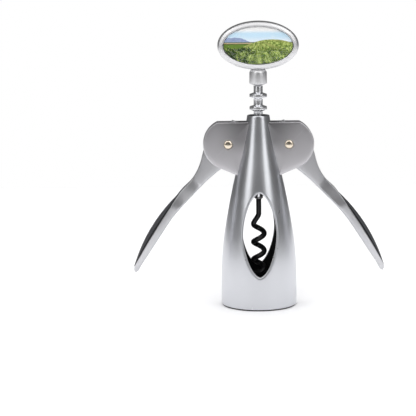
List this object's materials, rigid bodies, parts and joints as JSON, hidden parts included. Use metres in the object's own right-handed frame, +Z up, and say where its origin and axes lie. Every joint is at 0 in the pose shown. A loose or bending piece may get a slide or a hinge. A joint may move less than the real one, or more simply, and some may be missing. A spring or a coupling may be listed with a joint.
{
  "type": "lever corkscrew",
  "caption": "Winged lever corkscrew: bell on the bottle, two geared levers, ringed rack sleeve, coated worm and an oval picture handle.",
  "frame": {"origin": "centre of the ring that the corkscrew stands on, on its underside", "axes": "+Z up along the worm's axis towards the handle; +X towards the right lever; the picture on the handle faces -Y"},
  "size_m": [0.1404, 0.0422, 0.1583],
  "materials": {
    "satin_metal": "satin plated zinc casting",
    "polished_metal": "bright plated steel",
    "rivet_metal": "pale nickel-plated brass, domed",
    "black_plastic": "moulded, satin",
    "grip_pad": "dark grey soft-touch, fine grain",
    "worm_coating": "black non-stick coating, semi-gloss",
    "picture_print": "printed landscape of vine rows under a sky",
    "clear_dome": "clear poured resin, glossy"
  },
  "bodies": {
    "bell": {"bell_housing": "satin_metal", "bottle_guide": "black_plastic", "neck_bush": "black_plastic", "pivot_rivet_right": "rivet_metal", "pivot_rivet_left": "rivet_metal"},
    "rack": {"rack_sleeve": "polished_metal"},
    "screw": {"worm": "worm_coating", "worm_collar": "polished_metal", "handle_frame": "satin_metal", "picture_disc": "picture_print", "dome_lens": "clear_dome"},
    "wing_right": {"lever_right": "satin_metal", "lever_pad_right": "grip_pad"},
    "wing_left": {"lever_left": "satin_metal", "lever_pad_left": "grip_pad"}
  },
  "joints": [
    {"name": "lever_right_pivot", "type": "hinge", "parent": "bell", "child": "wing_right", "pos_m": [0.01683, 0, 0.0905], "axis": [0, -1, 0], "range_deg": [-31, 96]},
    {"name": "lever_left_pivot", "type": "hinge", "parent": "bell", "child": "wing_left", "pos_m": [-0.01683, 0, 0.0905], "axis": [0, 1, 0], "range_deg": [-31, 96]},
    {"name": "rack_slide", "type": "slide", "parent": "bell", "child": "rack", "axis": [0, 0, 1], "range_m": [-0.0221, 0.0072]},
    {"name": "screw_turn", "type": "hinge", "parent": "rack", "child": "screw", "pos_m": [0, 0, 0.09], "axis": [0, 0, 1], "continuous": true}
  ],
  "couplings": [
    {"joint": "lever_left_pivot", "follows": "lever_right_pivot", "ratio": 1},
    {"joint": "rack_slide", "follows": "lever_right_pivot", "m_per_rad": -0.01318}
  ]
}
